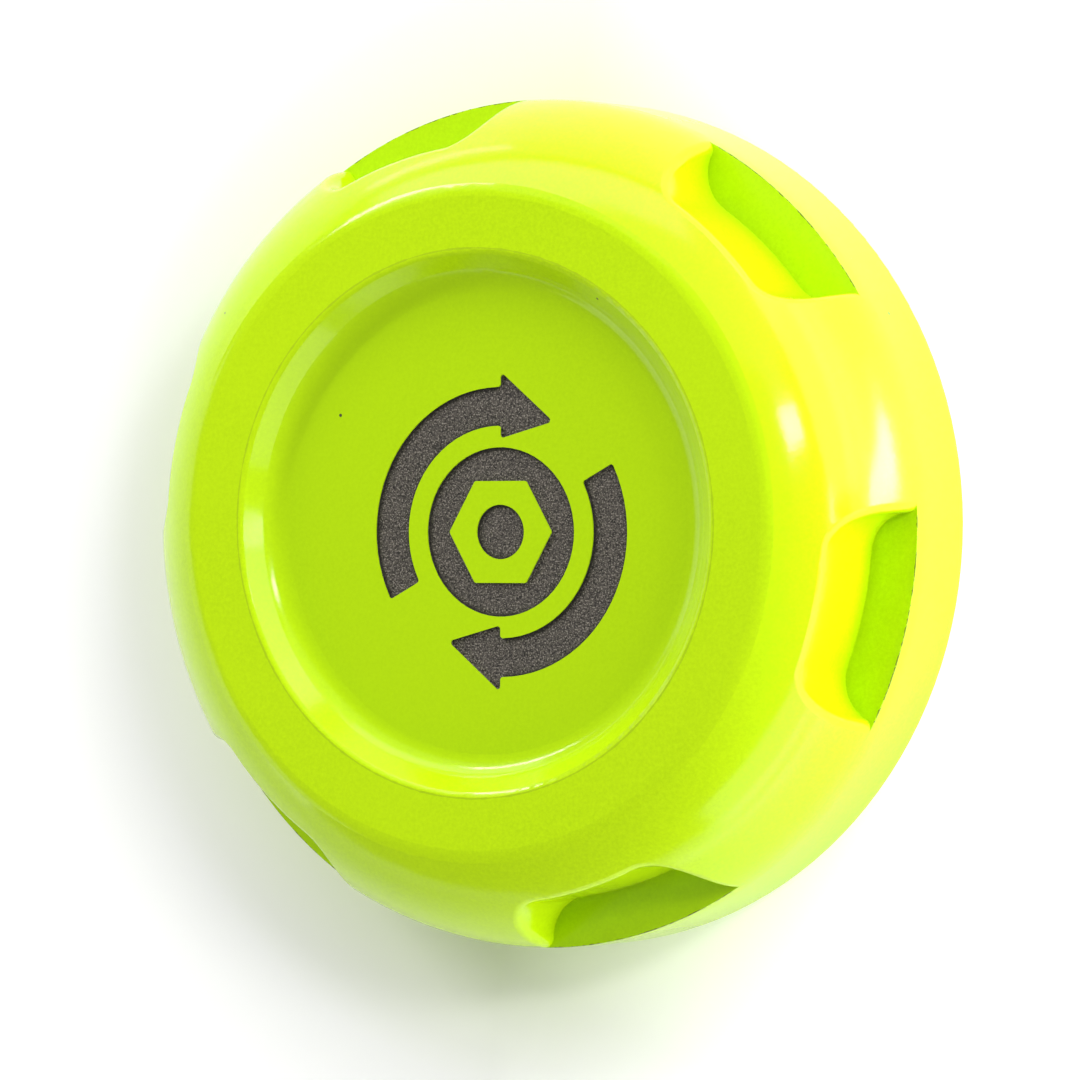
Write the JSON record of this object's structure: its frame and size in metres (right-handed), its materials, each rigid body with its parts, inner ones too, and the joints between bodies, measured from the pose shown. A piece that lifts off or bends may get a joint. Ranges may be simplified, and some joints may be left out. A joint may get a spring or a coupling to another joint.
{
  "type": "fluid reservoir cap",
  "caption": "Round screw cap for a fluid reservoir: dished metal shell with finger pockets over a threaded insert, with a swivelling bellows seal.",
  "frame": {"origin": "centre of the rim's underside, on the cap's axis, where the cap stands on a table", "axes": "+Z along the cap's axis, out of the dished face; +Y is the upright of the engraved turning mark; +X completes the right-handed frame"},
  "size_m": [0.06, 0.06, 0.017],
  "materials": {
    "lime_powder_coat": "gloss lime-green powder coat with slight orange peel on milled aluminium; engraved mark is bare dark blasted metal",
    "black_nylon": "moulded glass-filled nylon, fine spark-eroded texture",
    "zinc_steel": "bright zinc plate",
    "spring_steel": "drawn stainless spring wire",
    "white_ptfe": "skived PTFE sheet, satin",
    "black_epdm": "moulded EPDM rubber, soft satin",
    "grey_acetal": "moulded acetal, satin",
    "vent_felt": "white porous membrane"
  },
  "bodies": {
    "cap": {"cap_shell": "lime_powder_coat", "thread_insert": "black_nylon", "insert_screw_1": "zinc_steel", "insert_screw_2": "zinc_steel", "insert_screw_3": "zinc_steel", "vent_membrane": "vent_felt", "membrane_clamp_ring": "grey_acetal", "retaining_ring": "spring_steel"},
    "seal": {"slip_ring": "white_ptfe", "diaphragm_rim": "black_epdm", "diaphragm_bellows": "black_epdm"},
    "crown": {"diaphragm_crown": "black_epdm", "crown_plate": "grey_acetal"}
  },
  "joints": [
    {"name": "seal_swivel", "type": "hinge", "parent": "cap", "child": "seal", "pos_m": [0, 0, 0.008], "axis": [0, 0, 1], "continuous": true},
    {"name": "crown_stroke", "type": "slide", "parent": "seal", "child": "crown", "axis": [0, 0, -1], "range_m": [0, 0.009], "stiffness_N_per_m": 25, "deforming": ["diaphragm_bellows"]}
  ]
}
